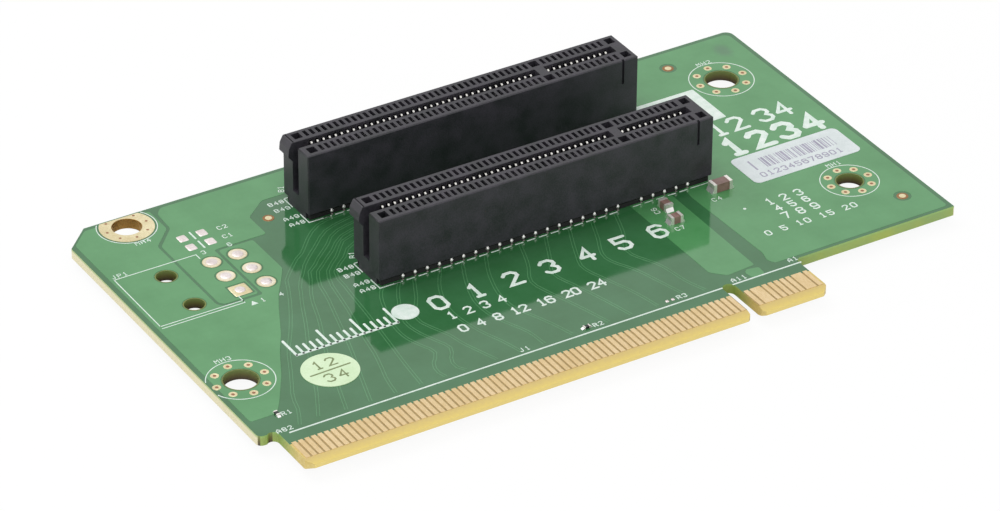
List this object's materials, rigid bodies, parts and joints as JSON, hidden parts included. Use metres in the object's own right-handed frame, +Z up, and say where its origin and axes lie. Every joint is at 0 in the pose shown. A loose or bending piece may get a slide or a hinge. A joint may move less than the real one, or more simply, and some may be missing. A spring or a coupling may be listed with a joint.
{
  "type": "pcie riser card",
  "caption": "Server riser card: green circuit board with a gold edge tab and upright open-ended slot connectors that hold expansion cards parallel to the main board.",
  "frame": {"origin": "middle of the edge key's notch, at the tip of the gold-finger tab, half way through the board", "axes": "+X along the gold fingers towards contact 1, +Y from the tab's tip to the rear edge, +Z up out of the connector side"},
  "size_m": [0.115, 0.068, 0.0141],
  "materials": {
    "solder_mask_board": "semi-gloss green solder mask over glass-epoxy laminate",
    "gold_plating": "soft gold plating over nickel and copper",
    "black_housing": "moulded glass-filled plastic, fine matte",
    "contact_metal": "formed copper alloy, gold flash",
    "solder": "bright tin solder",
    "ceramic": "fired ceramic, dull",
    "resistor_black": "glazed black film",
    "tin_terminal": "tin-plated end cap, satin",
    "label_white": "printed polyester film",
    "sticker_green": "pale printed paper film"
  },
  "bodies": {
    "root": {"barcode_label": "label_white", "circuit_board": "solder_mask_board", "edge_contacts_back": "gold_plating", "edge_contacts_front": "gold_plating", "front_slot_contacts_front_row": "contact_metal", "front_slot_contacts_rear_row": "contact_metal", "front_slot_housing": "black_housing", "front_slot_tails": "solder", "ground_ring": "gold_plating", "header_pads": "solder", "inspection_sticker": "sticker_green", "large_capacitor_body": "ceramic", "large_capacitor_solder": "solder", "large_capacitor_terminals": "tin_terminal", "left_resistor_body": "resistor_black", "left_resistor_solder": "solder", "left_resistor_terminals": "tin_terminal", "rear_slot_contacts_front_row": "contact_metal", "rear_slot_contacts_rear_row": "contact_metal", "rear_slot_housing": "black_housing", "rear_slot_tails": "solder", "small_capacitor_left_body": "ceramic", "small_capacitor_left_solder": "solder", "small_capacitor_left_terminals": "tin_terminal", "small_capacitor_rear_body": "ceramic", "small_capacitor_rear_solder": "solder", "small_capacitor_rear_terminals": "tin_terminal", "spare_capacitor_pads": "solder", "spare_resistor_pads": "solder", "tab_resistor_body": "resistor_black", "tab_resistor_solder": "solder", "tab_resistor_terminals": "tin_terminal"}
  },
  "joints": []
}
